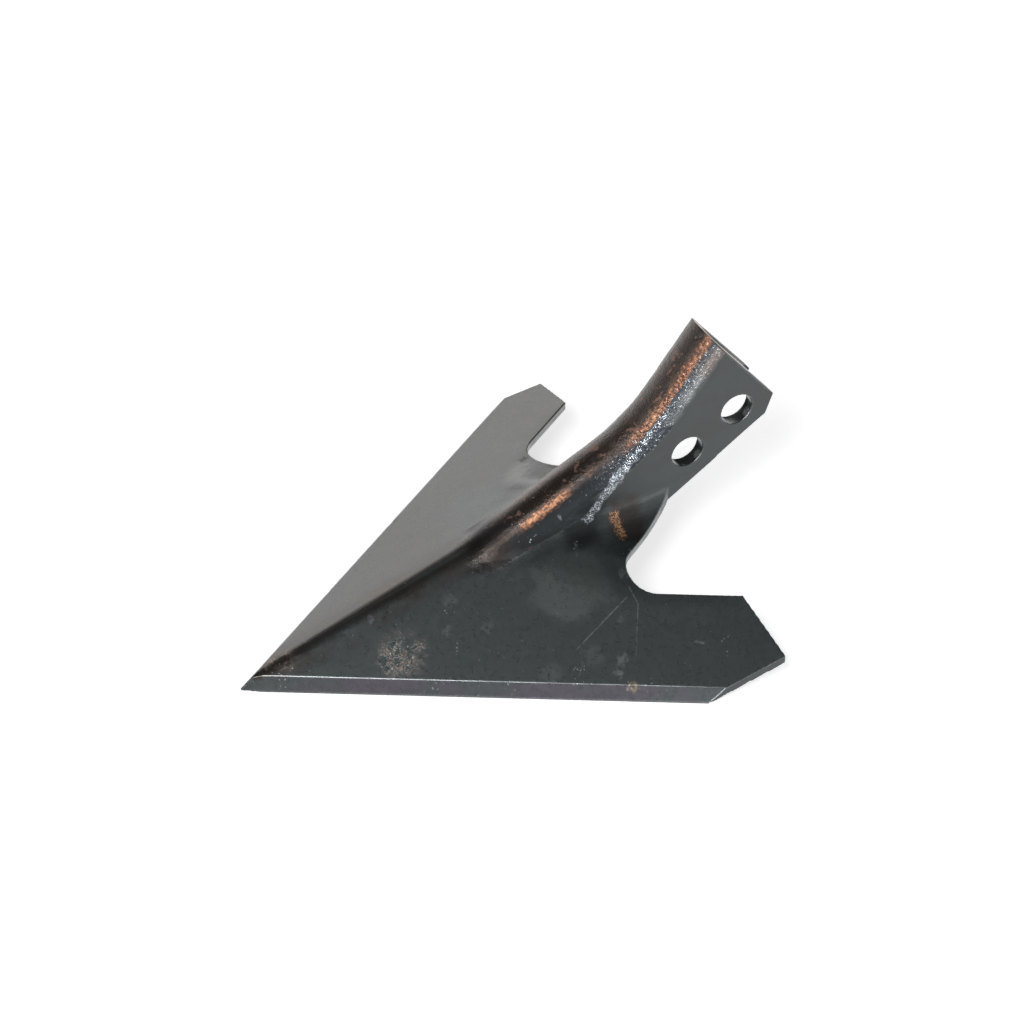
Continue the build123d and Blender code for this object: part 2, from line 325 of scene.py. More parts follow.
# painted shade along the ridge: across y, where it starts and is full on each side
RIDGE_SHADE = ((17.0 * MM, 2.0 * MM), (-4.0 * MM, 1.0 * MM))
END_FACE = (34.0 * MM, 40.0 * MM)                       # along z

SPOTS = {
    # centre, radius, softness of its rim
    "rubbed patch": ((133.0, -33.0, 24.5), 19.0, 0.35),
    # painted light: a pale patch in the far valley
    "far painted light": ((152.0, 29.0, 28.0), 17.0, 0.7),
    # painted shade at the crest's foot, in the valley and where its rounding begins
    "crest foot painted shade": ((168.0, -16.0, 34.0), 10.0, 0.6),
    "valley painted shade": ((149.0, -13.0, 38.0), 15.0, 0.6),
    "crest start painted shade": ((110.0, -5.0, 32.5), 14.0, 0.6),
    "tan spot": ((136.6, -77.4, 5.6), 2.6, 0.5),
}
# painted copper highlight in a short line in the valley
VALLEY_COPPER_HIGHLIGHT = ((163.4, -13.9, 34.6), (163.3, -20.5, 29.4), 2.9)       # start, end, width
DRY_RUST = (
    # centre, radius, softness, strength
    ((61.0, -22.0, 10.8), 13.0, 0.8, 1.0),
    ((70.0, -24.0, 12.5), 6.0, 0.8, 1.0),
    ((18.0, 1.0, 7.0), 11.0, 0.7, 0.8),
)
DARK_SPOTS = (
    # centre, radius
    ((152.0, 42.0, 26.2), 2.6), ((105.3, 46.2, 11.6), 0.9),
    ((98.5, 53.5, 6.5), 1.8), ((70.0, 33.0, 7.0), 1.2),
)
PALE_SPOTS = (
    # centre, radius, strength
    ((137.3, -66.9, 10.8), 3.2, 0.55), ((133.7, -70.3, 8.2), 2.8, 0.55),
    ((81.5, -23.6, 16.0), 3.0, 0.45), ((57.0, -4.5, 17.8), 2.4, 0.35),
    ((143.5, -54.0, 18.8), 2.0, 0.30), ((153.8, -38.9, 27.2), 3.4, 0.55),
    ((96.5, -30.0, 16.8), 3.0, 0.25), ((110.0, -58.0, 8.5), 6.0, 0.18),
    ((128.0, -60.0, 11.5), 6.0, 0.18), ((88.0, -14.0, 22.0), 4.0, 0.22),
)
DARK_SOFT, PALE_SOFT, PALE_STRENGTH = 0.7, 0.6, 0.6
CUT_FACE_COVER = (0.25, 0.7)
FLECK_CLUSTERS = (
    # centre, radius
    ((68.0, -37.9, 3.8), 4.5), ((93.9, -52.7, 4.4), 4.0), ((117.7, -66.4, 5.0), 4.0),
    ((135.9, -76.9, 5.5), 4.0), ((141.8, -80.2, 5.7), 4.5), ((147.6, -83.6, 5.8), 3.0),
    ((120.5, -62.0, 8.0), 3.0), ((18.0, -6.0, 6.0), 7.0), ((84.6, -17.2, 19.5), 2.5),
    ((82.0, -30.0, 11.5), 4.0), ((176.6, -80.7, 15.3), 4.0), ((176.2, -85.4, 13.0), 3.0),
    ((61.0, -22.0, 10.8), 9.0), ((128.0, -12.0, 35.0), 4.0), ((143.0, -18.9, 31.6), 3.5),
    ((163.7, -28.0, 28.2), 3.0),
)
SCRATCHES = (
    # start, end, width, strength
    ((150.3, -47.7, 23.5), (123.2, -54.8, 12.6), 0.34, 0.50),
    ((152.9, -44.7, 25.3), (152.9, -52.2, 22.2), 0.34, 0.50),
    ((152.9, -52.2, 22.2), (147.3, -61.2, 16.3), 0.30, 0.38),
    ((147.3, -61.2, 16.3), (143.1, -68.1, 11.9), 0.28, 0.22),
    ((166.2, -75.4, 14.9), (168.6, -77.4, 14.5), 0.70, 0.40),
    ((139.7, -10.5, 42.1), (143.0, -18.9, 31.6), 0.85, 0.30),
    ((143.0, -18.9, 31.6), (140.9, -23.5, 30.2), 0.85, 0.30),
    ((119.5, -64.0, 7.4), (123.5, -60.0, 10.4), 0.45, 0.30),
)
HIGHLIGHT_STREAK = (
    # painted highlight down the near side of the crest, from the neck into the valley
    (203.8, -10.2, 91.1), (189.7, -9.0, 75.5), (182.8, -9.2, 67.8), (173.7, -10.2, 59.0),
    (167.5, -11.0, 52.8), (160.5, -12.0, 46.1), (155.0, -12.8, 40.5), (151.6, -13.2, 36.9),
)
HIGHLIGHT_STREAK_WIDTHS = (0.3, 0.6, 1.1, 2.2, 2.8, 2.8, 2.4)
HIGHLIGHT_STREAK_GAPS = 0.25              # strength left in the streak's gaps
GLINT_STRENGTH = 0.4            # of the crest's glints beside the streak
# painted highlight in each bore
BORE_GLINT = (5.7, -10.5, -4.6, 2.6, 0.6)       # place from the bore's axis, radius, softness

ARRIS_START, ARRIS_WIDTH = 9.0, 0.42            # along the cutting edge, and across the arris
ARRIS_ENDS = ((NEAR, 186.0), (FAR, 198.0))
ARRIS_STRENGTH = (0.02, 0.20)                   # least rubbed and most rubbed
SCRATCH_BREAKS = 0.25                           # part of a scratch's strength left in its breaks

FLECK_CELLS, FLECK_FRAY = 760.0, 0.7            # scale of cells, how far the grain frays a fleck
FLECK_RIM = (0.66, 0.50)                        # of a cell, where its fleck starts and is full
FLECK_LIMIT, CLUSTER_LOWERS = 0.975, 0.62       # cells drawn over the limit hold a fleck
CREST_BUSY, CLUSTER_SOFT = 0.03, 0.55           # flecks on the crest, softness of a cluster's rim
FLECK_STRENGTH, CLUSTER_STRENGTH = 0.30, 0.65   # away from the clusters, and what they add

ROUGHNESS = (0.27, 0.32)        # of the oil film
ROUGHER = (
    # zone, and how much it adds to the roughness
    ("flank", 0.12), ("dry", 0.15), ("rust", 0.15), ("shiny", -0.08), ("lower_crest", 0.25),
)
METALLIC, METALLIC_LOST_TO_RUST = 0.9, 0.5
BUMP_FINE, BUMP_GRAIN, BUMP_DRY_RUST = 0.45, 0.9, 0.3   # how much each adds to the bumps
BUMP_WINGS, BUMP_CREST = 0.02, 0.98             # on the wings, and what the crest adds
BUMP_DISTANCE, BUMP_STRENGTH = 0.0004, 0.75     # height in metres, strength


# ---------------------------------------------------------------- steel
class SteelNodes(Nodes):
    """Nodes of the steel, with the places and zones that its finishes share."""

    def __init__(self, tree):
        super().__init__(tree)
        self.noises = {}
        self.place = self.new("ShaderNodeTexCoord").outputs["Object"]
        self.x, self.y, self.z = self.parts("ShaderNodeSeparateXYZ", self.place)
        self.lumpy, self.rusty, self.copper_band, self.bore = self.zones("zones")
        self.ridge, self.cut, self.flank, self.far = self.zones("wear")
        self.bevel = self.new("ShaderNodeAttribute", attribute_name="ground").outputs["Fac"]
        self.bent, self.wavy = (self.drifted(*drift) for drift in DRIFTS)

        self.crest = self.step(self.lumpy, *CREST_LUMPS)
        self.near_crest = self.times(self.crest, self.without(self.rusty))
        self.lower = self.step(self.x, *LOWER_CREST)
        self.lower_crest = self.times(self.near_crest, self.lower)
        self.rust = self.times(self.rusty, self.grains("rust"))
        dry = [self.times(self.spot(self.wavy, centre, radius, soft), strength)
               for centre, radius, soft, strength in DRY_RUST]
        self.dry = self.times(self.most(dry), self.grains("dry rust"))
        self.shiny = self.most((self.lumpy, self.bore))

    def zones(self, name):
        """The four values that the mesh holds under a name."""
        node = self.new("ShaderNodeAttribute", attribute_name=name)
        parts = self.parts("ShaderNodeSeparateColor", node.outputs["Color"])
        return (*parts, node.outputs["Alpha"])

    def drifted(self, scale, reach):
        """The place, moved by up to half the reach each way."""
        sway = self.new("ShaderNodeTexNoise")
        self.put(sway.inputs["Vector"], self.place)
        self.put(sway.inputs["Scale"], scale)
        drift = self.new("ShaderNodeVectorMath", operation="MULTIPLY_ADD")
        self.put(drift.inputs[0], sway.outputs["Color"])
        drift.inputs[1].default_value = (reach, reach, reach)
        drift.inputs[2].default_value = (-reach / 2, -reach / 2, -reach / 2)
        return self.vector("ADD", self.place, drift.outputs["Vector"]).outputs["Vector"]

    def noise(self, name):
        """The noise of that name, made when it is first asked for."""
        if name not in self.noises:
            node = self.new("ShaderNodeTexNoise")
            self.put(node.inputs["Vector"], self.place)
            for socket, value in zip(("Scale", "Detail", "Roughness", "Distortion"), NOISES[name]):
                self.put(node.inputs[socket], value)
            self.noises[name] = node.outputs["Fac"]
        return self.noises[name]

    def grains(self, name, to_low=0.0, to_high=1.0):
        """How far a finish shows through its noise."""
        source, low, high = GRAINS[name]
        return self.step(self.noise(source), low, high, to_low, to_high)

    def spot(self, place, centre, radius, soft):
        """1 inside a ball given in millimetres, falling to 0 at its radius."""
        return self.ball(place, on_blade(*centre), radius * MM, soft)

    def coat(self, colour, cover, name):
        """The colour with the named coat laid over it."""
        *tone, strength = COATS[name]
        return self.mix(self.times(cover, strength), colour, tone)


def oiled_film(n, steel):
    """Dark oily film over the wings and flanks, with faint specks in it and one rubbed patch."""
    brightness, strength = BROAD_FILM
    broad = tuple(brightness * v for v in steel)
    colour = n.coat(steel, n.far, "far film")
    colour = n.mix(n.times(n.grains("broad film"), strength), colour, broad)
    colour = n.coat(colour, n.grains("warm film"), "warm film")
    colour = n.coat(colour, n.grains("grey film"), "grey film")
    colour = n.coat(colour, n.flank, "flank film")
    patch = n.times(n.spot(n.wavy, *SPOTS["rubbed patch"]), n.grains("rubbed patch"))
    return n.coat(colour, patch, "rubbed patch")


def ridge_tint(n, colour):
    """Brown tint along the ridge, painted shade in a soft dark band on its side away from the
    camera, and a painted pale patch in the far valley.
    """
    shade = n.times(*(n.step(n.y, *span) for span in RIDGE_SHADE))
    colour = n.coat(colour, n.times(shade, n.ridge), "ridge shade")
    colour = n.coat(colour, n.times(n.ridge, n.grains("ridge brown")), "ridge brown")
    # painted light: a pale patch in the far valley
    return n.coat(colour, n.spot(n.place, *SPOTS["far painted light"]), "far painted light")


def crest_scale(n, colour, rust):
    """Crest brown over its top, lighter down its far side as painted reflection, and blue-black
    scale down its near side darkened further as painted shade, with small rust patches.
    """
    brown = n.mix(n.grains("crest brown"), *CREST_BROWNS)
    # painted reflection: lighter down the crest's far side
    brown = n.mix(n.step(n.y, *CREST_TURN), brown, CREST_FAR_SIDE_LIT)
    # blue-black scale on the near side, darkened further as painted shade
    over = n.mix(n.rusty, CREST_NEAR_SCALE_AND_SHADE, brown)
    colour = n.mix(n.times(n.crest, CREST_COVER), colour, over)
    # painted shade: the near side of the crest's lower part made nearly black
    colour = n.coat(colour, n.lower_crest, "lower crest")
    colour = n.mix(n.times(n.rust, RUST_COVER), colour, rust)
    # painted shade at the crest's foot, where it meets the wing and where its rounding begins
    for name in ("crest foot painted shade", "valley painted shade", "crest start painted shade"):
        colour = n.coat(colour, n.spot(n.wavy, *SPOTS[name]), name)
    return colour


def copper_scale(n, colour, copper):
    """Copper scale in a band down the crest, and a painted copper highlight in a short line in the
    valley beside it.
    """
    colour = n.coat(colour, n.step(n.copper_band, *COPPER_BAND), "under copper")
    flakes = n.times(n.copper_band, n.grains("copper"))
    colour = n.mix(n.times(flakes, COPPER_COVER), colour, copper)
    start, end, width = VALLEY_COPPER_HIGHLIGHT
    # painted highlight: a short copper line in the valley
    valley = n.line(n.bent, on_blade(*start), on_blade(*end), width)
    colour = n.coat(colour, valley, "valley copper highlight")
    return n.coat(colour, n.times(valley, n.grains("valley highlight flakes")), "valley highlight flakes")


def dry_rust(n, colour):
    """Dry rust speckles near the point."""
    colour = n.coat(colour, n.dry, "dry rust")
    return n.coat(colour, n.times(n.dry, n.grains("rust speckles")), "rust speckles")


def ground_faces(n, colour):
    """Ground bevel with a purple heat tint in places, cut faces, and a few small spots."""
    colour = n.coat(colour, n.bevel, "ground bevel")
    colour = n.coat(colour, n.times(n.bevel, n.grains("heat tint")), "heat tint")
    colour = n.coat(colour, n.times(n.cut, n.grains("cut face", *CUT_FACE_COVER)), "cut face")
    colour = n.coat(colour, n.times(n.cut, n.step(n.z, *END_FACE)), "end face")
    tan = n.times(n.spot(n.bent, *SPOTS["tan spot"]), n.grains("tan spot"))
    colour = n.coat(colour, tan, "tan spot")
    for centre, radius in DARK_SPOTS:
        mark = n.times(n.spot(n.bent, centre, radius, DARK_SOFT), n.grains("dark spot"))
        colour = n.coat(colour, mark, "dark spot")
    return colour


def arrises(n):
    """The thin worn line where each bevel meets its wing."""
    rub = n.grains("arris", *ARRIS_STRENGTH)
    inwards = (PLATE_RISE - EDGE_LAND) / (math.tan(BEVEL_SLOPE) - math.tan(WING_SLOPE))
    up = EDGE_LAND + inwards * math.tan(BEVEL_SLOPE)
    for side, along in ARRIS_ENDS:
        start, end = (along_edge(v, inwards, up, side) for v in (ARRIS_START, along))
        yield n.times(n.line(n.place, start, end, ARRIS_WIDTH), rub)


def scratches(n):
    for start, end, width, strength in SCRATCHES:
        broken = n.grains("scratch", SCRATCH_BREAKS * strength, strength)
        yield n.times(n.line(n.place, on_blade(*start), on_blade(*end), width), broken)


def pale_spots(n):
    for centre, radius, strength in PALE_SPOTS:
        mark = n.times(n.spot(n.bent, centre, radius, PALE_SOFT), n.grains("pale spot"))
        yield n.times(mark, PALE_STRENGTH * strength)


def flecks(n):
    """Small bare flecks, more and brighter in the clusters."""
    clusters = [n.spot(n.bent, centre, radius, CLUSTER_SOFT) for centre, radius in FLECK_CLUSTERS]
    busy = n.most([n.times(n.lumpy, CREST_BUSY), *clusters])
    cells = n.new("ShaderNodeTexVoronoi")
    n.put(cells.inputs["Vector"], n.place)
    n.put(cells.inputs["Scale"], FLECK_CELLS)
    chance = n.parts("ShaderNodeSeparateColor", cells.outputs["Color"])[0]
    limit = n.math("SUBTRACT", FLECK_LIMIT, n.times(busy, CLUSTER_LOWERS))
    frayed = n.math("ADD", cells.outputs["Distance"], n.times(n.noise("grain"), FLECK_FRAY))
    fleck = n.times(n.step(frayed, *FLECK_RIM), n.math("GREATER_THAN", chance, limit))
    fleck = n.times(fleck, n.without(n.most((n.flank, n.far))))
    strength = n.math("ADD", FLECK_STRENGTH, n.times(busy, CLUSTER_STRENGTH))
    return n.times(fleck, strength)


def painted_highlight_streak(n):
    """Painted highlight: a streak of bright grains down the crest's near side, and painted glints
    beside it.
    """
    streak = n.most([n.line(n.bent, on_blade(*start), on_blade(*end), width)
                     for start, end, width in zip(HIGHLIGHT_STREAK, HIGHLIGHT_STREAK[1:], HIGHLIGHT_STREAK_WIDTHS)])
    shine = n.times(streak, n.grains("streak"))
    shine = n.times(shine, n.grains("streak gaps", HIGHLIGHT_STREAK_GAPS, 1.0))
    glints = n.times(n.near_crest, n.grains("crest glints"), n.without(n.lower))
    return n.most((shine, n.times(glints, GLINT_STRENGTH)))


def bare_steel_and_painted_highlights(n, colour, bare):
    """Bare steel on arrises, scratches, rubbed spots and flecks; then painted highlights: the
    streak down the crest and the glints in the bores.
    """
    worn = n.most([*arrises(n), *scratches(n), *pale_spots(n), flecks(n)])
    colour = n.mix(worn, colour, bare)
    # painted highlight down the crest's near side
    colour = n.coat(colour, painted_highlight_streak(n), "streak")
    # painted highlight: a glint in each bore
    back, out, up, radius, soft = BORE_GLINT
    for bore_back, bore_up in BORES:
        centre = Vector((bore_back + back, out, bore_up + up)) * MM
        glint = n.ball(n.place, centre, radius * MM, soft)
        colour = n.coat(colour, n.times(glint, n.bore), "bore glint")
    return colour


def roughness(n):
    """Smooth oil, rougher on flanks, rust and the lower crest, smoother on lumps and in bores."""
    rough = n.grains("roughness", *ROUGHNESS)
    for zone, more in ROUGHER:
        rough = n.math("ADD", rough, n.times(getattr(n, zone), more))
    return rough


def hammered_grain(n):
    """Fine hammered grain on the crest, nearly none on the wings."""
    fine, grain = n.noise("fine"), n.noise("grain")
    height = n.math("ADD", n.times(fine, BUMP_FINE), n.times(grain, BUMP_GRAIN))
    height = n.times(height, n.math("ADD", BUMP_WINGS, n.times(n.lumpy, BUMP_CREST)))
    height = n.math("ADD", height, n.times(n.dry, grain, BUMP_DRY_RUST))
    bump = n.new("ShaderNodeBump")
    n.put(bump.inputs["Distance"], BUMP_DISTANCE)
    n.put(bump.inputs["Strength"], BUMP_STRENGTH)
    n.put(bump.inputs["Height"], height)
    return bump.outputs["Normal"]


def steel_material(settings):
    """Oiled dark steel: lumpy scale with copper lustre on the crest, smooth wings, worn edges."""
    material = bpy.data.materials.new("forged_steel")
    material.use_nodes = True
    n = SteelNodes(material.node_tree)
    colour = oiled_film(n, tuple(settings.steel))
    colour = ridge_tint(n, colour)
    colour = crest_scale(n, colour, tuple(settings.rust))
    colour = copper_scale(n, colour, tuple(settings.copper))
    colour = dry_rust(n, colour)
    colour = ground_faces(n, colour)
    colour = bare_steel_and_painted_highlights(n, colour, tuple(settings.bare))

    shader = n.new("ShaderNodeBsdfPrincipled")
    n.put(shader.inputs["Base Color"], colour)
    metallic = n.math("SUBTRACT", METALLIC, n.times(n.rust, METALLIC_LOST_TO_RUST))
    n.put(shader.inputs["Metallic"], metallic)
    n.put(shader.inputs["Roughness"], roughness(n))
    n.put(shader.inputs["Normal"], hammered_grain(n))
    n.put(n.new("ShaderNodeOutputMaterial").inputs["Surface"], shader.outputs["BSDF"])
    return material


# ---------------------------------------------------------------- share
# Lengths are in millimetres from the share's point, and normals have no unit. Each pair says
# where a zone starts and where it is full.
UPPER_LIFT = (-1.2, -0.4)               # over the wing's upper plane
BORE_CLEAR, BORE_WALL = 8.2, 8.0        # from a bore's axis
BORE_NORMAL = (0.6, 0.3)
LOOKS_UP, LOOKS_AHEAD = (-0.3, 0.0), (0.5, 0.2)
ROUND_NORMAL, ROUND_OUT = (0.995, 0.93), (14.5, 12.5)
FORGED = ((0.45, (92.0, 120.0)), (0.55, (142.0, 170.0)))        # strength, back
VALLEY_NORMAL, VALLEY_OUT, VALLEY_BACK = (0.97, 0.85), (31.0, 16.0), (112.0, 140.0)
VALLEY_LUMPS = 0.2
FLANK_NORMAL, FLANK_OUT, FLANK_BACK = (0.94, 0.99), 9.0, 140.0
RIDGE_OUT = (15.0, 3.0)
FAR_OUT, FAR_BACK = (1.0, 8.0), 215.0
BEVEL_NORMAL, BEVEL_LOWEST, BEVEL_INWARDS, BEVEL_OUT = (0.80, 0.70), 0.2, 6.0, 2.0
CUT_NORMAL, CUT_OUT, CUT_UP = (0.45, 0.2), 16.0, 70.0
CUT_IN_BORE = 0.8
REAR_NORMAL, REAR_TOP, REAR_UP = (0.3, 0.5), 0.3, 85.0
COPPER_NORMALS, COPPER_OUT = ((0.40, 0.54), (0.74, 0.62)), 9.5
COPPER_MIDDLE, COPPER_REACH, COPPER_NECK = 135.5, (15.0, 5.0), (168.0, 182.0)
COPPER_LEAST = 0.06
RUSTY_NORMAL, RUSTY_BACK = (0.72, 0.45), (100.0, 128.0)

LUMPS = ((6.0, 1.0), (2.4, 0.6))        # size, weight
LEAST_LUMPY = 0.01
EDGE_INWARDS, EDGE_OVER_LAND = 0.6, 0.02        # how far the cutting edge is drawn straight
EDGE_FROM_POINT = (2.0, 9.0)
EDGE_END_NEAR, EDGE_END_FAR = 187.2, 198.6
EDGE_SET_IN, EDGE_SET_UP = 0.04, 0.03
NICK_INWARDS = 3.0
NICKS = (
    # along the cutting edge, side, length, depth
    (114.0, FAR, 3.0, 0.9), (99.0, FAR, 1.6, 0.5), (66.0, FAR, 2.2, 0.4), (148.0, FAR, 2.0, 0.4),
)
BOX_MARGIN = 0.02
SOFTEN_FACTOR, RELAX_FACTOR, RELAX_PASSES = 0.5, 0.3, 2


def smooth_step(value, low, high):
    t = np.clip((value - low) / (high - low), 0.0, 1.0)
    return t * t * (3 - 2 * t)


def soften(piece, name, factor, passes):
    modifier = piece.modifiers.new(name, "SMOOTH")
    modifier.factor = factor
    modifier.iterations = passes


def refined(source, voxel, passes, keep):
    """An even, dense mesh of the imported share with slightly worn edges."""
    piece = bpy.data.objects.new("share_surface", source.data.copy())
    bpy.context.scene.collection.objects.link(piece)
    remesh = piece.modifiers.new("even", "REMESH")
    remesh.mode = "VOXEL"
    remesh.voxel_size = voxel
    remesh.use_smooth_shade = True
    soften(piece, "soften", SOFTEN_FACTOR, passes)
    thin = piece.modifiers.new("thin", "DECIMATE")
    thin.ratio = keep
    soften(piece, "relax", RELAX_FACTOR, RELAX_PASSES)
    snug = piece.modifiers.new("snug", "SHRINKWRAP")
    snug.target = source
    snug.wrap_method = "NEAREST_SURFACEPOINT"
    graph = bpy.context.evaluated_depsgraph_get()
    mesh = bpy.data.meshes.new_from_object(piece.evaluated_get(graph))
    piece.modifiers.clear()
    piece.data = mesh
    return piece


class Surface:
    """The surface's points and normals, with its points also in millimetres from the point."""

    def __init__(self, mesh):
        self.mesh = mesh
        self.co, self.normals = self.values("co"), self.values("normal")
        self.place = (self.co - np.array(POINT)) / MM
        self.x, self.y, self.z = self.place.T
        self.nx, self.ny, self.nz = self.normals.T
        self.out, self.sideways = np.abs(self.y), np.abs(self.ny)
        self.inwards = self.x * math.sin(SWEEP) - self.out * math.cos(SWEEP)
        self.along = self.x * math.cos(SWEEP) + self.out * math.sin(SWEEP)
        lift = self.z - PLATE_RISE - self.inwards * math.tan(WING_SLOPE)
        self.upper = smooth_step(lift, *UPPER_LIFT)
        x, z = self.x + POINT.x / MM, self.z + POINT.z / MM
        self.from_bore = np.minimum(*(np.hypot(x - back, z - up) for back, up in BORES))

    def values(self, name):
        values = np.empty(len(self.mesh.vertices) * 3)
        self.mesh.vertices.foreach_get(name, values)
        return values.reshape(-1, 3)

    def move(self, inwards, side):
        """Moves the points in plan, by millimetres into the wing."""
        self.co[:, 0] += inwards * math.sin(SWEEP) * MM
        self.co[:, 1] -= inwards * math.cos(SWEEP) * side * MM


def paint_zones(s):
    """Finds where each finish goes, and writes it into the mesh. Gives back where it is lumpy."""
    plain = (s.from_bore > BORE_CLEAR) * smooth_step(s.nz, *LOOKS_UP)
    plain = plain * smooth_step(s.nx, *LOOKS_AHEAD)
    rounded = smooth_step(s.sideways, *ROUND_NORMAL) * smooth_step(s.out, *ROUND_OUT) * plain
    valley = smooth_step(s.out, *VALLEY_OUT) * smooth_step(s.x, *VALLEY_BACK)
    valley = valley * smooth_step(s.sideways, *VALLEY_NORMAL)
    forged = sum(strength * smooth_step(s.x, *span) for strength, span in FORGED)
    lumpy = np.maximum(rounded * forged, VALLEY_LUMPS * valley) * s.upper
    rusty = smooth_step(-s.ny, *RUSTY_NORMAL) * rounded * s.upper * smooth_step(s.x, *RUSTY_BACK)

    reach = np.maximum(smooth_step(np.abs(s.x - COPPER_MIDDLE), *COPPER_REACH),
                       COPPER_LEAST + (1 - COPPER_LEAST) * smooth_step(s.x, *COPPER_NECK))
    copper = math.prod(smooth_step(-s.ny, *span) for span in COPPER_NORMALS)
    copper = copper * rounded * reach * (s.out < COPPER_OUT) * s.upper

    ridge = smooth_step(s.out, *RIDGE_OUT) * s.upper
    far = smooth_step(s.y, *FAR_OUT) * (s.x < FAR_BACK)
    flank = smooth_step(s.sideways, *FLANK_NORMAL) * (s.out > FLANK_OUT) * (s.x > FLANK_BACK)
    bevel = (s.inwards < BEVEL_INWARDS) * smooth_step(s.nz, *BEVEL_NORMAL)
    bevel = bevel * (s.nz > BEVEL_LOWEST) * (s.out > BEVEL_OUT)

    bore = (s.from_bore < BORE_WALL) * smooth_step(s.sideways, *BORE_NORMAL)
    side = smooth_step(np.abs(s.nz), *CUT_NORMAL) * ((s.out > CUT_OUT) | (s.z > CUT_UP))
    rear = smooth_step(s.nx, *REAR_NORMAL) * (s.nz > REAR_TOP) * (s.z > REAR_UP)
    cut = np.maximum.reduce([side * (1 - flank), CUT_IN_BORE * bore, rear])

    for name, values in (("zones", (lumpy, rusty, copper, bore)),
                         ("wear", (ridge, cut, flank, far))):
        layer = s.mesh.color_attributes.new(name, "FLOAT_COLOR", "POINT")
        layer.data.foreach_set("color", np.stack(values, axis=1).astype(np.float32).ravel())
    ground = s.mesh.attributes.new("ground", "FLOAT", "POINT")
    ground.data.foreach_set("value", bevel.astype(np.float32))
    return lumpy


def push_lumps(s, lumpy, height):
    """Pushes the lumps of forging out along the normals."""
    push = np.zeros(len(lumpy))
    for k in np.nonzero(lumpy > LEAST_LUMPY)[0]:
        place = Vector(s.place[k])
        lump = sum(weight * noise.noise(place / size) for size, weight in LUMPS)
        push[k] = height * lumpy[k] * lump
    s.co += s.normals * push[:, None]


def draw_edges(s):
    """Draws the cutting edges straight and down to their lowest line."""
    land = (s.inwards < EDGE_INWARDS) & (s.z < EDGE_LAND + EDGE_OVER_LAND)
    land = land * smooth_step(s.x, *EDGE_FROM_POINT)
    land = land * (s.along < np.where(s.y < 0, EDGE_END_NEAR, EDGE_END_FAR))
    s.move((EDGE_SET_IN - s.inwards) * land, np.sign(s.y))
    s.co[:, 2] += (POINT.z + EDGE_SET_UP * MM - s.co[:, 2]) * land


def cut_nicks(s):
    """Pushes small nicks of the cutting edge back into the wing."""
    for along, side, length, depth in NICKS:
        near = smooth_step(np.abs(s.along - along), length, 0.0)
        near = near * smooth_step(s.inwards, NICK_INWARDS, 0.0) * (s.y * side > 0)
        s.move(near * depth, side)


def forge(piece, lumps):
    """Shapes the surface's lumps, edges and nicks, inside the CAD share's box."""
    s = Surface(piece.data)
    push_lumps(s, paint_zones(s), lumps)
    draw_edges(s)
    cut_nicks(s)
    margin = BOX_MARGIN * MM
    s.co = np.clip(s.co, np.array(LOWEST) + margin, np.array(HIGHEST) - margin)
    s.mesh.vertices.foreach_set("co", s.co.ravel())
    s.mesh.update()


class SHARE_OT_surface(bpy.types.Operator):
    """Makes the share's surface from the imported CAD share."""

    bl_idname = "share.surface"
    bl_label = "Share surface"

    def execute(self, context):
        settings = context.scene.share_settings
        voxel = settings.voxel * 1.0
        piece = refined(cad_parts["share"], voxel, settings.smooth, settings.keep)
        forge(piece, settings.lumps)
        piece.data.materials.clear()
        piece.data.materials.append(steel_material(settings))
        piece.data.shade_smooth()
        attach(piece, "root")
        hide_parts("share")
        return {"FINISHED"}


# ---------------------------------------------------------------- stage
# Places and sizes are in metres.
FLOOR_SIZE, FLOOR_GLOW = 8.0, 0.60
LAMPS = (
    # name, which is also its power's setting, place, width and height, colour
    ("key", (-0.75, -0.55, 1.00), (0.5, 0.5), WHITE),
    ("front", (-1.31, -0.66, 0.44), (0.2, 0.2), WHITE),
    ("back", (0.55, 1.70, 0.22), (2.2, 0.7), WHITE),
    ("low", (-0.32, -1.36, 0.14), (0.25, 0.12), (0.93, 0.97, 1.0)),
)
LAMPS_AIM = Vector((-0.06, 0.0, 0.0))
CEILING = (0.12, 0.62)                          # rise of a ray from the horizon into the dark
RISE_BEHIND = (-0.05, 0.25, 0.0, 0.30)          # ray's x, and how much later the dark starts
BACKDROP = (-0.35, 0.45, 0.5, 1.0)              # ray's y, and the backdrop's brightness
PICTURE, SENSOR = 1024, 36.0                    # pixels, millimetres
CLIP = (0.05, 20.0)
CAMERA = {
    "turn": 61.333,         # degrees, from +X towards +Y, of the way the camera looks
    "height": 42.349,
    "roll": 0.076,
    "scale": 2.511,         # pixels per millimetre at the point's depth
    "shift": (108.876, 71.464),     # millimetres to the right and up from the point
    "distance": 2000.0,
}


def camera_axes(turn, height, roll):
    """Right, up and back of the camera."""
    a, e, r = (math.radians(v) for v in (turn, height, roll))
    back = Vector((-math.cos(a) * math.cos(e), -math.sin(a) * math.cos(e), math.sin(e)))
    right = Vector((math.sin(a), -math.cos(a), 0.0))
    up = back.cross(right)
    tilted = up * math.cos(r) - right * math.sin(r)
    return right * math.cos(r) + up * math.sin(r), tilted, back


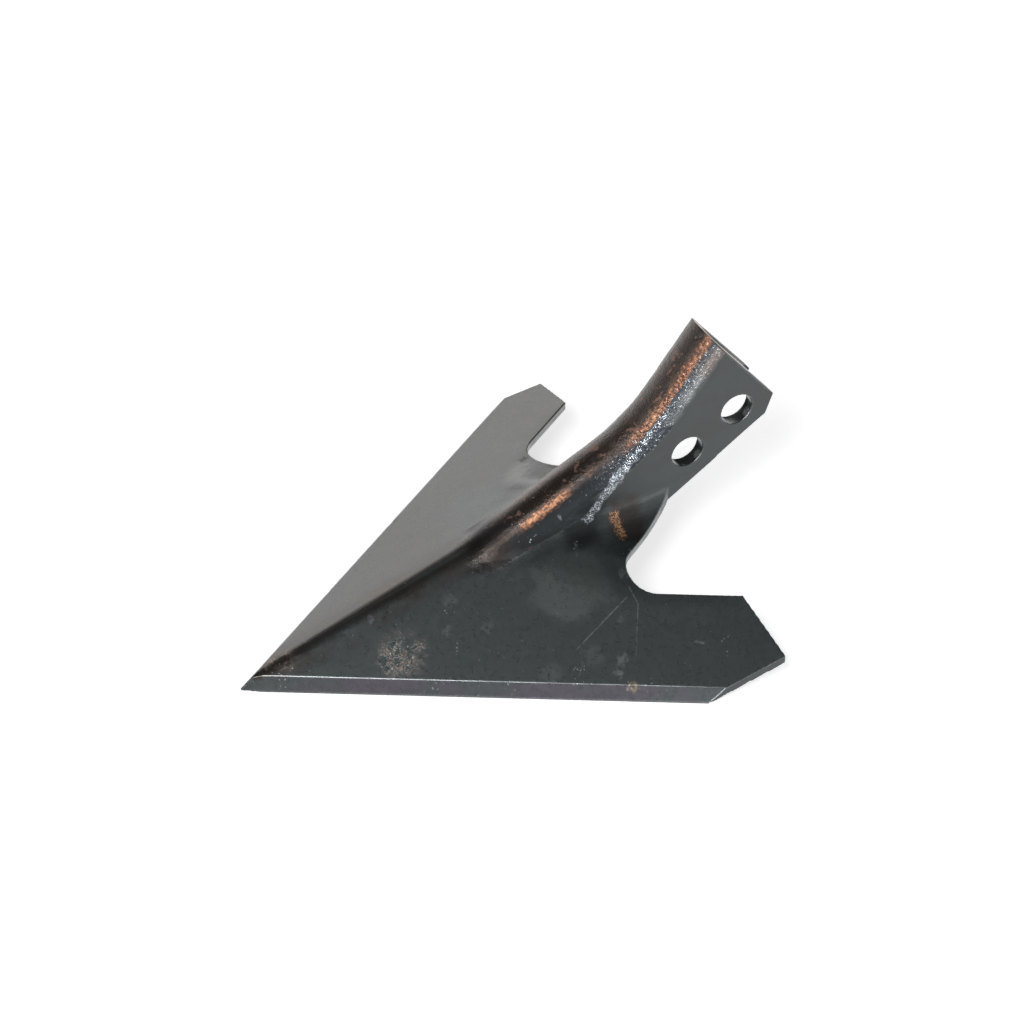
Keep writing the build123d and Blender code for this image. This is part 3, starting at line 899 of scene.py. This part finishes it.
def make_camera(scene):
    right, up, back = camera_axes(CAMERA["turn"], CAMERA["height"], CAMERA["roll"])
    to_right, upwards = CAMERA["shift"]
    place = POINT + (right * to_right + up * upwards + back * CAMERA["distance"]) * MM
    turned = Matrix((right, up, back)).transposed().to_4x4()
    data = bpy.data.cameras.new("camera")
    data.sensor_width = SENSOR
    data.lens = CAMERA["scale"] * CAMERA["distance"] / PICTURE * SENSOR
    data.clip_start, data.clip_end = CLIP
    camera = bpy.data.objects.new("camera", data)
    camera.matrix_world = Matrix.Translation(place) @ turned
    scene.collection.objects.link(camera)
    scene.camera = camera


def make_lamp(scene, name, place, size, colour, power):
    data = bpy.data.lights.new(name, "AREA")
    data.shape = "RECTANGLE"
    data.size, data.size_y = size
    data.energy = power
    data.color = colour
    lamp = bpy.data.objects.new(name, data)
    lamp.location = place
    lamp.rotation_euler = (LAMPS_AIM - Vector(place)).to_track_quat("-Z", "Y").to_euler()
    scene.collection.objects.link(lamp)


def make_floor(settings):
    """White floor that keeps the shadow, and glows for the camera and in mirrors."""
    bpy.ops.mesh.primitive_plane_add(size=FLOOR_SIZE, location=(0, 0, LOWEST[2]))
    floor = bpy.context.active_object
    floor.name = "floor"
    material = bpy.data.materials.new("floor")
    material.use_nodes = True
    n = Nodes(material.node_tree)
    matt = n.new("ShaderNodeBsdfDiffuse")
    matt.inputs["Color"].default_value = (*settings.floor, 1)
    path = n.new("ShaderNodeLightPath")
    rays = ("Is Camera Ray", "Is Glossy Ray", "Is Transmission Ray")
    seen = n.most([path.outputs[ray] for ray in rays])
    glow = n.new("ShaderNodeEmission")
    glow.inputs["Color"].default_value = (*WHITE, 1)
    n.put(glow.inputs["Strength"], n.times(seen, FLOOR_GLOW))
    both = n.new("ShaderNodeAddShader")
    n.put(both.inputs[0], matt.outputs[0])
    n.put(both.inputs[1], glow.outputs[0])
    n.put(n.new("ShaderNodeOutputMaterial").inputs["Surface"], both.outputs[0])
    floor.data.materials.append(material)


def background(n, strength):
    node = n.new("ShaderNodeBackground")
    node.inputs["Color"].default_value = (*WHITE, 1)
    n.put(node.inputs["Strength"], strength)
    return node.outputs[0]


def make_world(scene, settings):
    """White for the camera; otherwise a white backdrop low down and behind, and a dark ceiling."""
    world = bpy.data.worlds.new("world")
    world.use_nodes = True
    n = Nodes(world.node_tree)
    way = n.new("ShaderNodeTexCoord").outputs["Generated"]
    x, y, z = n.parts("ShaderNodeSeparateXYZ", way)
    rise = n.step(n.math("SUBTRACT", z, n.step(x, *RISE_BEHIND)), *CEILING)
    strength = n.new("ShaderNodeMix", data_type="FLOAT")
    n.put(strength.inputs["Factor"], rise)
    n.put(strength.inputs["A"], n.times(n.step(y, *BACKDROP), settings.horizon))
    n.put(strength.inputs["B"], settings.zenith)
    mix = n.new("ShaderNodeMixShader")
    n.put(mix.inputs[0], n.new("ShaderNodeLightPath").outputs["Is Camera Ray"])
    n.put(mix.inputs[1], background(n, strength.outputs["Result"]))
    n.put(mix.inputs[2], background(n, 1.0))
    n.put(n.new("ShaderNodeOutputWorld").inputs["Surface"], mix.outputs[0])
    scene.world = world


class SHARE_OT_stage(bpy.types.Operator):
    """Makes the floor, the lamps, the backdrop and the camera."""

    bl_idname = "share.stage"
    bl_label = "Stage"

    def execute(self, context):
        scene = context.scene
        settings = scene.stage_settings
        make_floor(settings)
        for name, place, size, colour in LAMPS:
            make_lamp(scene, name, place, size, colour, getattr(settings, name))
        make_world(scene, settings)
        make_camera(scene)
        scene.view_settings.view_transform = "Standard"
        return {"FINISHED"}


# ---------------------------------------------------------------- panel and registration
class SHARE_PT_panel(bpy.types.Panel):
    """Settings and operators of the cultivator share."""

    bl_idname = "SHARE_PT_panel"
    bl_label = "Cultivator share"
    bl_space_type = "VIEW_3D"
    bl_region_type = "UI"
    bl_category = "Share"

    def draw(self, context):
        scene = context.scene
        for settings in (scene.share_settings, scene.stage_settings):
            for name in settings.__annotations__:
                self.layout.prop(settings, name)
        self.layout.operator("share.surface")
        self.layout.operator("share.stage")


CLASSES = (ShareSettings, StageSettings, SHARE_OT_surface, SHARE_OT_stage, SHARE_PT_panel)


def register():
    for item in CLASSES:
        bpy.utils.register_class(item)
    bpy.types.Scene.share_settings = bpy.props.PointerProperty(type=ShareSettings)
    bpy.types.Scene.stage_settings = bpy.props.PointerProperty(type=StageSettings)


def unregister():
    del bpy.types.Scene.stage_settings
    del bpy.types.Scene.share_settings
    for item in reversed(CLASSES):
        bpy.utils.unregister_class(item)


def main():
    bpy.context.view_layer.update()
    register()
    bpy.ops.share.surface()
    bpy.ops.share.stage()


if __name__ == "__main__":
    main()
